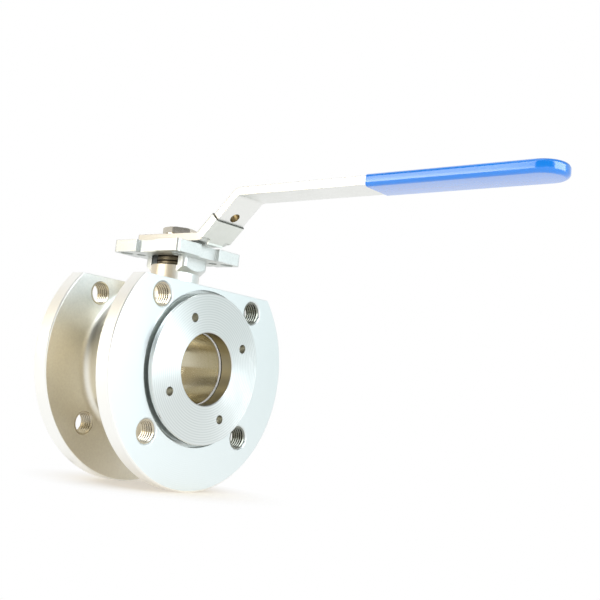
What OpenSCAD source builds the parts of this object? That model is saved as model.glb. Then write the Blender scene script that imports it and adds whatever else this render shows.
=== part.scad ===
// Compact flanged ball valve with a lever, in millimetres.
// The origin is the centre of the ball. +X runs along the flow towards the screwed insert,
// +Z runs up the stem, and the lever points along +X when the valve is open.

/* [Flow path] */
// Diameter of the clear way through the valve
bore_d = 49; // [44:0.5:52]
// Diameter of the ball
ball_d = 76; // [73:0.5:80]
// Room between the ball and the wall of its chamber
ball_room = 1.5; // [1:0.1:3]
// Wall of the body around the ball's chamber
chamber_wall = 9.5; // [8:0.5:12]

/* [Flanges] */
// Outside diameter of both flanges
flange_d = 165; // [160:1:185]
// Thickness of each flange
flange_t = 12; // [11:0.5:16]
// Clear distance between the two flanges
flange_gap = 49; // [47:0.5:60]
// Pitch circle diameter of the flange bolt holes
flange_pcd = 125; // [125:1:130]
// Nominal diameter of the flange bolt holes
flange_bolt_d = 16; // [12:1:16]
// Countersink at the mouth of each flange bolt hole
bolt_mouth = 0.8; // [0.3:0.1:1]
// Height of the flat top of the flanges above the flow axis
flat_top_z = 55.6; // [55.4:0.2:60]
// Fillet between the neck and a flange
neck_fillet = 6; // [3:0.5:8]
// Chamfer on the turned edges
edge_break = 0.8; // [0.3:0.1:1.2]

/* [Raised faces and insert] */
// Step from the ball's chamber out to the thread of the insert
thread_step = 2.5; // [1.5:0.5:3]
// Diameter of both raised faces
face_d = 102; // [98:1:103]
// Height of both raised faces above the flanges
face_h = 5; // [3:0.5:7]
// Depth of the recess that takes the head of the insert
recess_depth = 5; // [4:0.5:6]
// Width of the open groove around the head of the insert
groove_w = 2; // [1:0.1:2.2]
// Diameter of the spanner holes
spanner_d = 6.2; // [4:0.2:8]
// Depth of the spanner holes
spanner_depth = 6; // [3:0.5:7]
// Pitch circle diameter of the spanner holes
spanner_pcd = 74; // [68:1:80]
// Turn of the spanner holes about the flow axis
spanner_turn = 28; // [0:1:89]

/* [Seats] */
// Width of a seat along the flow
seat_w = 7.5; // [6:0.5:8.5]
// Wall of a seat around the clear way
seat_wall = 9.5; // [8:0.5:10.5]
// White edge of a seat that shows in the clear way
seat_lip = 1.5; // [0.5:0.05:2]
// Width of the relief groove behind a seat, along the flow
relief_w = 1.4; // [0.4:0.1:1.5]
// Depth of that groove, outwards from the clear way
relief_depth = 0.6; // [0.4:0.1:2]
// Running gap between the ball and a seat
seat_gap = 0.3; // [0.2:0.05:0.5]
// Thickness of the gasket under the head of the insert
gasket_t = 1; // [0.5:0.1:2]
// Width of that gasket, from the thread outwards
gasket_w = 3; // [2:0.5:6]

/* [Stem] */
// Diameter of the stem
stem_d = 18; // [17:0.5:19]
// Square on the stem that drives the lever, across flats
square_af = 14; // [12.5:0.5:14.5]
// Thread on the end of the stem
stem_thread_d = 14; // [10:0.5:14]
// Diameter of the anti blow-out collar
collar_d = 26; // [25:0.5:28]
// Thickness of the anti blow-out collar
collar_t = 5; // [4:0.5:6]
// Thickness of the tang that turns the ball
tang_t = 12.2; // [10:0.2:14]
// Width of the tang
tang_w = 22; // [18:0.5:24]
// Depth of the tang below the top of the ball
tang_depth = 9.9; // [8:0.1:10.5]
// Thickness of the thrust washer on the collar
thrust_t = 1.4; // [1:0.1:2]
// Thickness of the body between the thrust washer and the packing
bridge_t = 4; // [3.5:0.5:5]
// Cross section of the stem O-ring
o_ring_t = 1.8; // [1.4:0.1:2]

/* [Gland] */
// Diameter of the packing chamber
packing_d = 26; // [25:0.5:27]
// Height of one packing ring
packing_pitch = 2.4; // [1.8:0.1:2.8]
// Number of packing rings
packing_count = 4; // [2:1:4]
// Height of the packing rings' ridge
packing_ridge = 1; // [0.5:0.1:1.5]
// Flat height of the adapter rings under and over the packing
adapter_t = 2; // [1:0.1:2.5]
// Diameter of the gland's flange and of the disc springs on it
gland_flange_d = 27.6; // [26.5:0.1:30]
// Thickness of the gland's flange
gland_flange_t = 2.4; // [1.5:0.1:3]
// Gap left under the gland's flange for tightening
gland_gap = 0.6; // [0.3:0.1:1]
// Thickness of a disc spring
disc_t = 1.25; // [0.8:0.05:1.4]
// Cone height of a disc spring
disc_cone = 0.35; // [0.2:0.05:0.5]
// Gland nut, across flats
gland_nut_af = 27; // [25:0.5:27]
// Height of the gland nut
gland_nut_h = 5; // [4:0.1:6]
// Thickness of the tab washer on the gland nut
tab_t = 1; // [0.8:0.1:1.2]

/* [Stem housing and pad] */
// Diameter of the stem housing
housing_d = 34; // [33:0.5:36]
// Diameter of the bore through the pad, which takes the gland
yoke_bore_d = 35; // [34:0.1:36]
// Length of the yoke across its two legs
yoke_l = 38.5; // [38:0.5:44]
// Width of the legs
yoke_w = 23.6; // [18:0.2:26]
// Radius of the legs' upright edges
yoke_r = 3; // [1:0.5:5]
// Bevel around the lower ends of the legs
yoke_lead = 1.6; // [0.5:0.1:2]
// Overlap of the legs down the side of the housing
yoke_overlap = 4.2; // [2:0.1:6]
// Height of the open windows between the legs
window_h = 6; // [5.5:0.1:7]
// Side of the square actuator pad
pad_side = 63; // [62:0.5:70]
// Thickness of the pad
pad_t = 8.4; // [8:0.1:12]
// Height of the pad's top above the flow axis
pad_top_z = 83.9; // [83:0.1:88]
// Corner radius of the pad
pad_r = 2.5; // [1:0.5:6]
// Width of the lock notches in the sides of the pad
notch_w = 18; // [16:0.5:22]
// Depth of the lock notches
notch_depth = 3.2; // [2.8:0.1:5]
// Pitch circle diameter of the inner actuator holes
inner_pcd = 50; // [49:0.5:50]
// Diameter of the inner actuator holes
inner_hole_d = 7; // [5:0.1:7]
// Pitch circle diameter of the outer actuator holes
outer_pcd = 70; // [69:0.5:71]
// Diameter of the outer actuator holes
outer_hole_d = 9; // [7:0.1:9.4]

/* [Stops] */
// Thickness of the stop plate under the lever
stop_plate_t = 2; // [1.5:0.1:4]
// Diameter of the stop plate's hub
stop_hub_d = 37; // [36:0.5:38]
// Diameter over the stop plate's two ears
stop_ear_d = 50; // [48:0.5:52]
// Width of each ear in degrees
stop_ear_turn = 16; // [12:1:18]
// Diameter of the stop pin
stop_pin_d = 4; // [3:0.1:4.4]
// Distance of the stop pin from the stem's axis
stop_pin_r = 22; // [21.8:0.1:23]
// Depth of the stop pin in the pad
stop_pin_depth = 7; // [5:0.1:7]

/* [Lever] */
// Width of the lever bar
lever_w = 25; // [24:0.5:28]
// Thickness of the lever bar
lever_t = 5.5; // [5:0.1:8]
// Reach of the lever from the stem's axis to its tip
lever_reach = 285.6; // [220:0.1:320]
// Length of the lever behind the stem's axis
lever_tail = 30; // [24:0.5:31]
// Rise from the lever's foot to its arm
lever_rise = 29.5; // [26:0.5:60]
// Slope of the lever's incline in degrees
lever_slope = 45; // [40:1:50]
// Upward tilt of the lever's arm in degrees
arm_tilt = 0.6; // [0:0.1:3]
// Distance from the stem's axis to the start of the incline
knee_x = 33.5; // [33.5:0.1:36]
// Inside radius of the lever's bends
bend_r = 5; // [2:0.5:6]
// Corner radius at the tail of the lever
tail_r = 2; // [1:0.5:8]
// Diameter of the padlock hole
padlock_d = 7; // [5:0.5:9]
// Distance of the padlock hole up the incline
padlock_s = 24.2; // [23.5:0.1:27]
// Handle nut, across flats
handle_nut_af = 21; // [18:0.5:24]
// Height of the handle nut
handle_nut_h = 4.6; // [4:0.1:9]
// Turn of the handle nut about the stem
handle_nut_turn = 48; // [0:1:59]
// Outside diameter of the handle washer
handle_washer_d = 24; // [18:0.5:24.5]
// Thickness of the handle washer
handle_washer_t = 0.8; // [0.6:0.1:2.5]

/* [Grip] */
// Length of the vinyl grip
grip_l = 122; // [90:1:150]
// Wall of the vinyl grip
grip_wall = 1.25; // [0.8:0.05:2]
// Edge radius of the vinyl grip
grip_edge_r = 3.2; // [1:0.1:3.3]

/* [Slide lock] */
// Thickness of the sheet of the slide lock
lock_sheet = 1; // [0.8:0.1:1.4]
// Sliding gap between the lock and the lever
lock_gap = 0.6; // [0.4:0.05:0.8]
// Length of the lock along the incline
lock_l = 18; // [16:0.5:20]
// Distance of the lock's foot up the incline when it is free
lock_s = 1; // [1:0.1:2]
// Outside edge radius of the folded sheet
lock_edge_r = 2.2; // [1.6:0.1:2.4]
// Width of the tongue that drops into a notch
tongue_w = 14.5; // [12:0.5:15]
// Travel of the lock from free down to locked
lock_drop = 5; // [3:0.5:5]

/* [Hidden] */
$fn = 96;

// Clearances that several fits share
fit_gap = 0.05;
thread_gap = 0.1;
run_gap = 0.1;
free_gap = 0.3;
past = 1;
nut_face = 1.06;
quarter_turn = 90;
hole_turn = 45;

// Colours by material
cast_steel = "#d9d8d2";
turned_steel = "#e2e4e6";
bright_steel = "#c9ccd0";
dark_steel = "#4a4642";
white_ptfe = "#f6f5f0";
graphite = "#2c2c2e";
blue_vinyl = "#1c4fd0";

// Flow path
bore_r = bore_d / 2;
ball_r = ball_d / 2;
chamber_r = ball_r + ball_room;
neck_r = chamber_r + chamber_wall;
port_x = sqrt(ball_r * ball_r - bore_r * bore_r);
seat_back_x = port_x + seat_lip;
seat_front_x = seat_back_x - seat_w;
seat_r = bore_r + seat_wall;
relief_r = bore_r + relief_depth;
seat_recess = 1.5;
chamber_x = seat_front_x - seat_recess;

// Flanges and insert
flange_r = flange_d / 2;
flange_in_x = flange_gap / 2;
flange_x = flange_in_x + flange_t;
plug_r = chamber_r + thread_step;
face_r = face_d / 2;
face_x = flange_x + face_h;
recess_x = flange_x - recess_depth;
recess_r = face_r + groove_w;
head_x = recess_x + gasket_t;
mouth_break = 0.5;
bolt_count = 4;
spanner_count = 4;
pad_corners = 4;

// Stem and packing heights
stem_r = stem_d / 2;
collar_r = collar_d / 2;
collar_gap = 0.6;
collar_room = 0.5;
collar_z = ball_r + collar_gap;
thrust_z = collar_z + collar_t + run_gap;
shoulder_z = thrust_z + thrust_t;
bridge_gap = 0.25;
packing_z = shoulder_z + bridge_t;
packing_r = packing_d / 2;
packing_mid_r = (stem_r + packing_r) / 2;
rings_z = packing_z + adapter_t;
top_adapter_z = rings_z + packing_count * packing_pitch;
packing_top_z = top_adapter_z + packing_ridge + adapter_t;
tang_z = ball_r - tang_depth;
slot_gap = 0.1;
slot_floor_gap = 0.5;
o_ring_r = o_ring_t / 2;
o_ring_z = shoulder_z + bridge_t / 2;
o_ring_mid_r = stem_r + bridge_gap - run_gap - o_ring_r;
groove_room = 0.2;

// Pad and gland heights
pad_z = pad_top_z - pad_t;
housing_z = pad_z - window_h;
yoke_z = housing_z - yoke_overlap;
yoke_h = yoke_overlap + window_h + past;
yoke_foot_r = yoke_l / 2 - yoke_lead;
yoke_bore_r = yoke_bore_d / 2;
gland_z = housing_z + gland_gap;
gland_top_z = gland_z + gland_flange_t;
gland_r = gland_flange_d / 2;
disc_z = gland_top_z + run_gap;
disc_h = 2 * (disc_t + disc_cone);
gland_nut_z = disc_z + disc_h;
tab_z = gland_nut_z + gland_nut_h;
tab_r = 14;
tab_drop = 3;
tab_half = 3;
key_w = 4;
key_depth = 1.5;
seat_z = pad_top_z + run_gap;
lever_z = seat_z + stop_plate_t;
lever_top_z = lever_z + lever_t;
arm_z = lever_z + lever_rise;
square_top_z = lever_top_z - free_gap;
handle_nut_z = lever_top_z + handle_washer_t;
handle_nut_top_z = handle_nut_z + handle_nut_h;
stem_top_z = handle_nut_top_z - free_gap;

// Stops
stop_pin_turn = quarter_turn;
stop_pin_top_z = lever_z - free_gap;
stop_play = asin((stop_pin_d / 2 + free_gap) / stop_pin_r);
ear_turns = [stop_pin_turn - stop_play - stop_ear_turn, stop_pin_turn + quarter_turn + stop_play];

// Lever bends and grip
half_slope = lever_slope / 2;
bend_out_r = bend_r + lever_t;
bend_steps = 12;
upper_knee_x = knee_x + lever_rise / tan(lever_slope);
lower_bend = [knee_x - bend_out_r * tan(half_slope), lever_z + bend_out_r];
upper_bend = arm_point(bend_r * tan((lever_slope - arm_tilt) / 2), -bend_r);
arm_l = (lever_reach - upper_knee_x) / cos(arm_tilt);
tip_s = arm_l - lever_w / 2;
grip_s = arm_l + grip_wall - grip_l;
grip_w = lever_w + 2 * grip_wall;
grip_t = lever_t + 2 * grip_wall;

// Slide lock
lock_w = lever_w + 2 * (lock_gap + lock_sheet);
lock_t = lever_t + 2 * (lock_gap + lock_sheet);
lock_trim_z = pad_top_z + lock_drop * sin(lever_slope) + free_gap;
lock_top_s = (lever_t + bend_r) * tan(half_slope) + free_gap + lock_drop;
lock_low = -lock_gap - lock_sheet;
tongue_strip = 6;
tongue_bend = incline_point(lock_s, lock_low);
tongue_drop = tongue_bend.y - pad_top_z - free_gap;
tongue_foot = [lock_s, lock_low] - tongue_drop * [sin(lever_slope), cos(lever_slope)];
tongue_heel = tongue_foot + lock_sheet * [-cos(lever_slope), sin(lever_slope)];
tongue_miter_s = lock_s + lock_sheet * (tan(lever_slope) * (1 - sin(lever_slope)) - cos(lever_slope));

// Antistatic contacts
contact_r = 1.3;
contact_gap = 0.05;
contact_wire = 0.4;
contact_room = 0.1;
contact_coil_r = contact_r - contact_wire / 2 - contact_room;
contact_turns = 3;
contact_spring_l = 3;
coil_sides = 6;
coil_steps = 8;
tang_contact_x = tang_t / 2 + slot_gap - contact_gap - contact_r;
tang_contact_z = ball_r - tang_depth / 2;
collar_contact_x = collar_r + collar_room - run_gap - contact_r;
collar_contact_z = collar_z + collar_t / 2;

// Points in the side view (x, z) at distance s up the incline and n above its lower face
function incline_point(s, n) = [
  knee_x + s * cos(lever_slope) - n * sin(lever_slope),
  lever_z + s * sin(lever_slope) + n * cos(lever_slope)
];

// The same along the arm, from the lower face's corner with the incline
function arm_point(s, n) = [
  upper_knee_x + s * cos(arm_tilt) - n * sin(arm_tilt),
  arm_z + s * sin(arm_tilt) + n * cos(arm_tilt)
];

// Points of an arc from angle a to angle b
function arc(centre, r, a, b, steps) = [
  for (i = [0:steps]) centre + r * [cos(a + (b - a) * i / steps), sin(a + (b - a) * i / steps)]
];

// Places children along the flow: their +Z becomes +X
module along_flow(x = 0) {
  translate([x, 0, 0])
    rotate([0, 90, 0])
      children();
}

// Places children on a circle about +Z
module around(count, turn = 0) {
  for (i = [0:count - 1])
    rotate(turn + i * 360 / count)
      children();
}

// Turns a side view (x, z) into a solid of width w, centred on y = 0
module from_side(w) {
  translate([0, w / 2, 0])
    rotate([90, 0, 0])
      linear_extrude(w)
        children();
}

// Rectangle centred on the origin with round corners
module round_rect(w, h, r) {
  square([w - 2 * r, h], center = true);
  square([w, h - 2 * r], center = true);
  for (sx = [-1, 1])
    for (sy = [-1, 1])
      translate([sx * (w / 2 - r), sy * (h / 2 - r)])
        circle(r);
}

// Plan of a bar from x0 to a half-round tip at x1
module bar_plan(x0, x1, w) {
  translate([x0, -w / 2])
    square([x1 - w / 2 - x0, w]);
  translate([x1 - w / 2, 0])
    circle(d = w);
}

// Disc from z = 0 to z = t with both rims broken by c
module broken_disc(r, t, c) {
  rotate_extrude()
    polygon([[0, 0], [r - c, 0], [r, c], [r, t - c], [r - c, t], [0, t]]);
}

// Ring between two radii from z = 0 to z = h
module ring(r_in, r_out, h) {
  difference() {
    cylinder(r = r_out, h = h);
    translate([0, 0, -past])
      cylinder(r = r_in, h = h + 2 * past);
  }
}

// Hexagon nut from z = 0 to z = h with turned corners
module hex_nut(af, h, hole_r) {
  corner_r = af / sqrt(3);
  flat_r = nut_face * af / 2;
  lead = (corner_r - flat_r) * tan(30);
  difference() {
    intersection() {
      cylinder(r = corner_r, h = h, $fn = 6);
      rotate_extrude()
        polygon([[0, 0], [flat_r, 0], [corner_r, lead], [corner_r, h - lead], [flat_r, h], [0, h]]);
    }
    translate([0, 0, -past])
      cylinder(r = hole_r, h = h + 2 * past);
  }
}

// Fillet ring that widens from the neck to a flange face at z = 0
module neck_flare() {
  rotate_extrude()
    difference() {
      translate([neck_r - past, -neck_fillet])
        square([neck_fillet + past, neck_fillet]);
      translate([neck_r + neck_fillet, -neck_fillet])
        circle(neck_fillet);
    }
}

// Flanges, neck and rear raised face, turned about the flow axis
module turned_body() {
  along_flow(-flange_x)
    broken_disc(flange_r, flange_t, edge_break);
  along_flow(flange_in_x)
    broken_disc(flange_r, flange_t, edge_break);
  along_flow(-flange_in_x - past)
    cylinder(r = neck_r, h = flange_gap + 2 * past);
  along_flow(flange_in_x)
    neck_flare();
  mirror([1, 0, 0])
    along_flow(flange_in_x)
      neck_flare();
  along_flow(-face_x)
    broken_disc(face_r, face_h + flange_t / 2, mouth_break);
}

// Clear way, ball chamber, rear seat pocket and relief, insert thread and insert recess
module flow_cuts() {
  along_flow(-face_x - past)
    cylinder(r = bore_r, h = 2 * (face_x + past));
  along_flow(-face_x - fit_gap)
    cylinder(r1 = bore_r + mouth_break + fit_gap, r2 = bore_r, h = mouth_break + fit_gap);
  along_flow(-seat_back_x)
    cylinder(r = seat_r, h = seat_back_x);
  along_flow(-seat_back_x - relief_w)
    cylinder(r = relief_r, h = relief_w + past);
  along_flow(-chamber_x)
    cylinder(r = chamber_r, h = chamber_x + flange_x);
  along_flow(chamber_x - past)
    cylinder(r = plug_r, h = flange_x);
  along_flow(recess_x)
    cylinder(r = recess_r, h = recess_depth + past);
}

// Tapped bolt holes with countersunk mouths through one flange, whose outer face is at z = 0
module flange_holes() {
  around(bolt_count, hole_turn)
    translate([flange_pcd / 2, 0, 0]) {
      translate([0, 0, -flange_t - past])
        cylinder(d = flange_bolt_d, h = flange_t + 2 * past);
      translate([0, 0, -bolt_mouth])
        cylinder(d1 = flange_bolt_d, d2 = flange_bolt_d + 4 * bolt_mouth, h = 2 * bolt_mouth);
    }
}

// Round housing, two-legged yoke and notched pad, solid
module pad_and_yoke() {
  translate([0, 0, ball_r])
    cylinder(d = housing_d, h = housing_z - ball_r);
  translate([0, 0, yoke_z])
    intersection() {
      linear_extrude(yoke_h)
        round_rect(yoke_l, yoke_w, yoke_r);
      cylinder(r1 = yoke_foot_r, r2 = yoke_foot_r + yoke_h, h = yoke_h);
    }
  translate([0, 0, pad_z])
    linear_extrude(pad_t)
      difference() {
        round_rect(pad_side, pad_side, pad_r);
        around(pad_corners)
          translate([pad_side / 2, 0])
            square([2 * notch_depth, notch_w], center = true);
      }
}

// Stem bores, gland bore, actuator holes and stop pin hole
module stem_cuts() {
  translate([0, 0, ball_r / 2])
    cylinder(r = collar_r + collar_room, h = shoulder_z - ball_r / 2);
  translate([0, 0, shoulder_z - past])
    cylinder(r = stem_r + bridge_gap, h = bridge_t + 2 * past);
  translate([0, 0, packing_z])
    cylinder(r = packing_r, h = housing_z - packing_z + past);
  translate([0, 0, housing_z])
    cylinder(r = yoke_bore_r, h = window_h + pad_t + past);
  around(pad_corners, hole_turn) {
    translate([inner_pcd / 2, 0, pad_z - past])
      cylinder(d = inner_hole_d, h = pad_t + 2 * past);
    translate([outer_pcd / 2, 0, pad_z - past])
      cylinder(d = outer_hole_d, h = pad_t + 2 * past);
  }
  at_stop_pin(pad_top_z - stop_pin_depth)
    cylinder(d = stop_pin_d, h = stop_pin_depth + past);
}

// Places children on the stop pin's axis
module at_stop_pin(z) {
  rotate(stop_pin_turn)
    translate([stop_pin_r, 0, z])
      children();
}

module body() {
  color(cast_steel)
    difference() {
      union() {
        difference() {
          turned_body();
          translate([-face_x - past, -flange_r, flat_top_z])
            cube([2 * (face_x + past), flange_d, flange_r]);
        }
        pad_and_yoke();
      }
      flow_cuts();
      stem_cuts();
      along_flow(flange_x)
        flange_holes();
      mirror([1, 0, 0])
        along_flow(flange_x)
          flange_holes();
    }
}

module seat_insert() {
  color(turned_steel)
    difference() {
      union() {
        along_flow(chamber_x)
          cylinder(r = plug_r - thread_gap, h = head_x - chamber_x + past);
        along_flow(head_x)
          broken_disc(face_r, face_x - head_x, mouth_break);
      }
      along_flow(chamber_x - past)
        cylinder(r = bore_r, h = face_x + 2 * past);
      along_flow(chamber_x - past)
        cylinder(r = seat_r, h = seat_back_x - chamber_x + past);
      along_flow(seat_back_x - past)
        cylinder(r = relief_r, h = relief_w + past);
      along_flow(face_x - mouth_break)
        cylinder(r1 = bore_r, r2 = bore_r + mouth_break + fit_gap, h = mouth_break + fit_gap);
      rotate([spanner_turn, 0, 0])
        for (i = [0:spanner_count - 1])
          rotate([i * 360 / spanner_count, 0, 0])
            translate([0, spanner_pcd / 2, 0])
              along_flow(face_x - spanner_depth)
                cylinder(d = spanner_d, h = spanner_depth + past);
    }
}

module insert_gasket() {
  color(white_ptfe)
    along_flow(recess_x)
      ring(plug_r, plug_r + gasket_w, gasket_t);
}

// Seat ring on the +X side, hollowed to the ball
module seat_ring() {
  difference() {
    along_flow(seat_front_x)
      ring(bore_r, seat_r - fit_gap, seat_w);
    sphere(r = ball_r + seat_gap);
  }
}

module front_seat() {
  color(white_ptfe)
    seat_ring();
}

module rear_seat() {
  color(white_ptfe)
    mirror([1, 0, 0])
      seat_ring();
}

module ball() {
  color(bright_steel)
    difference() {
      sphere(r = ball_r);
      along_flow(-ball_r)
        cylinder(r = bore_r, h = ball_d);
      translate([-tang_t / 2 - slot_gap, -ball_r, tang_z - slot_floor_gap])
        cube([tang_t + 2 * slot_gap, ball_d, ball_r]);
    }
}

module stem() {
  color(bright_steel)
    difference() {
      union() {
        translate([0, 0, tang_z])
          intersection() {
            cylinder(d = tang_w, h = collar_z - tang_z + past);
            translate([-tang_t / 2, -tang_w / 2, 0])
              cube([tang_t, tang_w, collar_z - tang_z + past]);
          }
        translate([0, 0, collar_z])
          cylinder(r = collar_r, h = collar_t);
        translate([0, 0, collar_z])
          cylinder(r = stem_r, h = seat_z - collar_z);
        translate([0, 0, seat_z - past])
          intersection() {
            cylinder(r = stem_r, h = square_top_z - seat_z + past);
            translate([-square_af / 2, -square_af / 2, 0])
              cube([square_af, square_af, square_top_z - seat_z + past]);
          }
        translate([0, 0, square_top_z - past])
          cylinder(d = stem_thread_d, h = stem_top_z - square_top_z + past);
      }
      translate([0, 0, o_ring_z - o_ring_r - groove_room])
        ring(o_ring_mid_r - o_ring_r - fit_gap, stem_r + past, o_ring_t + 2 * groove_room);
      translate([stem_r - key_depth, -key_w / 2, gland_nut_z])
        cube([key_depth + past, key_w, seat_z - gland_nut_z]);
      contact_hole(tang_contact_x, tang_contact_z);
      contact_hole(collar_contact_x, collar_contact_z);
    }
}

module thrust_washer() {
  color(white_ptfe)
    translate([0, 0, thrust_z])
      ring(stem_r + bridge_gap, collar_r, thrust_t);
}

module stem_o_ring() {
  color(graphite)
    translate([0, 0, o_ring_z])
      rotate_extrude()
        translate([o_ring_mid_r, 0])
          circle(o_ring_r);
}

// Section of a ring between stem and chamber, whose lower and upper sides rise to a ridge
module packing_section(z, h, low_ridge, high_ridge) {
  r0 = stem_r + fit_gap;
  r1 = packing_r - fit_gap;
  translate([0, 0, z])
    rotate_extrude()
      polygon([
        [r0, 0], [packing_mid_r, low_ridge], [r1, 0],
        [r1, h], [packing_mid_r, h + high_ridge], [r0, h]
      ]);
}

module packing_rings() {
  color(graphite)
    for (i = [0:packing_count - 1])
      packing_section(
        rings_z + i * packing_pitch + fit_gap, packing_pitch - fit_gap, packing_ridge, packing_ridge
      );
}

module packing_adapters() {
  color(white_ptfe) {
    packing_section(packing_z, adapter_t, 0, packing_ridge);
    packing_section(top_adapter_z, packing_ridge + adapter_t, packing_ridge, 0);
  }
}

module gland() {
  color(dark_steel) {
    difference() {
      union() {
        translate([0, 0, packing_top_z])
          cylinder(r = packing_r - fit_gap, h = gland_z - packing_top_z + gland_flange_t / 2);
        translate([0, 0, gland_z])
          broken_disc(gland_r, gland_flange_t, mouth_break);
      }
      translate([0, 0, packing_top_z - past])
        cylinder(r = stem_r + fit_gap, h = gland_top_z - packing_top_z + 2 * past);
    }
  }
}

module disc_springs() {
  r0 = stem_r + fit_gap;
  z1 = disc_cone + disc_t;
  color(dark_steel)
    translate([0, 0, disc_z]) {
      rotate_extrude()
        polygon([[r0, 0], [gland_r, disc_cone], [gland_r, z1], [r0, disc_t]]);
      rotate_extrude()
        polygon([[gland_r, z1], [r0, z1 + disc_cone], [r0, disc_h], [gland_r, z1 + disc_t]]);
    }
}

module gland_nut() {
  color(bright_steel)
    translate([0, 0, gland_nut_z])
      hex_nut(gland_nut_af, gland_nut_h, stem_r + fit_gap);
}

module tab_washer() {
  tab_x = gland_nut_af / 2 + fit_gap;
  color(bright_steel) {
    translate([0, 0, tab_z])
      ring(stem_r + thread_gap, tab_r, tab_t);
    translate([stem_r - key_depth + thread_gap, -key_w / 2 + thread_gap, tab_z])
      cube([key_depth + past, key_w - 2 * thread_gap, tab_t]);
    around(2, 90)
      translate([tab_x, -tab_half, tab_z - tab_drop])
        cube([tab_t, 2 * tab_half, tab_drop + tab_t]);
  }
}

// Blind radial hole for a contact ball and its spring
module contact_hole(x, z) {
  translate([0, 0, z])
    along_flow(x - contact_r - contact_spring_l)
      cylinder(r = contact_r + contact_gap, h = contact_spring_l + 3 * contact_r);
}

module antistatic_balls() {
  color(bright_steel) {
    translate([tang_contact_x, 0, tang_contact_z])
      sphere(r = contact_r);
    translate([collar_contact_x, 0, collar_contact_z])
      sphere(r = contact_r);
  }
}

// Helical spring along +Z from z = 0 to z = l, swept round with triangles
module coil_spring(r, wire, l, turns) {
  rings = turns * coil_steps;
  climb = (l - wire) / rings;
  points = [
    for (i = [0:rings])
      for (j = [0:coil_sides - 1])
        let (
          a = i * 360 / coil_steps,
          b = j * 360 / coil_sides,
          reach = r + wire / 2 * cos(b)
        )
        [reach * cos(a), reach * sin(a), wire / 2 + i * climb + wire / 2 * sin(b)]
  ];
  sides = [
    for (i = [0:rings - 1])
      for (j = [0:coil_sides - 1])
        let (
          k = (j + 1) % coil_sides,
          low = i * coil_sides,
          high = low + coil_sides
        )
        each [[low + j, high + j, high + k], [low + j, high + k, low + k]]
  ];
  first_end = [for (j = [1:coil_sides - 2]) [0, j, j + 1]];
  last = rings * coil_sides;
  last_end = [for (j = [1:coil_sides - 2]) [last, last + j + 1, last + j]];
  polyhedron(points, concat(sides, first_end, last_end));
}

module antistatic_springs() {
  color(bright_steel)
    for (place = [[tang_contact_x, tang_contact_z], [collar_contact_x, collar_contact_z]])
      translate([0, 0, place.y])
        along_flow(place.x - contact_r - contact_spring_l + contact_gap)
          coil_spring(contact_coil_r, contact_wire, contact_spring_l - 2 * contact_gap, contact_turns);
}

module stop_plate() {
  color(bright_steel)
    translate([0, 0, seat_z])
      difference() {
        union() {
          cylinder(d = stop_hub_d, h = stop_plate_t);
          for (turn = ear_turns)
            rotate(turn)
              rotate_extrude(angle = stop_ear_turn)
                translate([stop_hub_d / 2 - past, 0])
                  square([(stop_ear_d - stop_hub_d) / 2 + past, stop_plate_t]);
        }
        square_hole(-past, stop_plate_t + 2 * past);
      }
}

module stop_pin() {
  color(bright_steel)
    at_stop_pin(pad_top_z - stop_pin_depth)
      cylinder(d = stop_pin_d - 2 * fit_gap, h = stop_pin_top_z - pad_top_z + stop_pin_depth);
}

// Square hole for the stem, from z upwards
module square_hole(z, h) {
  side = square_af + 2 * fit_gap;
  translate([-side / 2, -side / 2, z])
    cube([side, side, h]);
}

// Places children on the incline: +X up the slope, +Z away from its lower face
module on_incline(s = 0) {
  translate([knee_x, 0, lever_z])
    rotate([0, -lever_slope, 0])
      translate([s, 0, 0])
        children();
}

// Places children on the arm: +X out to the tip, +Z away from its lower face
module on_arm(s = 0) {
  translate([upper_knee_x, 0, arm_z])
    rotate([0, -arm_tilt, 0])
      translate([s, 0, 0])
        children();
}

// Side view of the whole lever bar with its two bends
module lever_side() {
  polygon(concat(
    [[-lever_tail, lever_z]],
    arc(lower_bend, bend_out_r, -quarter_turn, lever_slope - quarter_turn, bend_steps),
    arc(upper_bend, bend_r, lever_slope + quarter_turn, arm_tilt + quarter_turn, bend_steps),
    [arm_point(arm_l + past, 0), arm_point(arm_l + past, lever_t)],
    arc(upper_bend, bend_out_r, arm_tilt + quarter_turn, lever_slope + quarter_turn, bend_steps),
    arc(lower_bend, bend_r, lever_slope - quarter_turn, -quarter_turn, bend_steps),
    [[-lever_tail, lever_top_z]]
  ));
}

module lever() {
  foot_l = 2 * (lever_tail + lever_reach);
  color(turned_steel)
    difference() {
      intersection() {
        from_side(lever_w)
          lever_side();
        translate([foot_l / 2 - lever_tail, 0, 0])
          linear_extrude(2 * arm_z)
            round_rect(foot_l, lever_w, tail_r);
        on_arm()
          translate([0, 0, -arm_z])
            linear_extrude(2 * arm_z)
              bar_plan(-foot_l, arm_l, lever_w);
      }
      square_hole(lever_z - past, lever_t + 2 * past);
      on_incline(padlock_s)
        translate([0, 0, -past])
          cylinder(d = padlock_d, h = lever_t + 2 * past);
    }
}

module handle_washer() {
  color(bright_steel)
    translate([0, 0, lever_top_z])
      ring(stem_thread_d / 2 + thread_gap, handle_washer_d / 2, handle_washer_t);
}

module handle_nut() {
  color(bright_steel)
    translate([0, 0, handle_nut_z])
      rotate(handle_nut_turn)
        hex_nut(handle_nut_af, handle_nut_h, stem_thread_d / 2 + fit_gap);
}

// Section across the grip
module grip_section() {
  round_rect(grip_w, grip_t, grip_edge_r);
}

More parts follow.
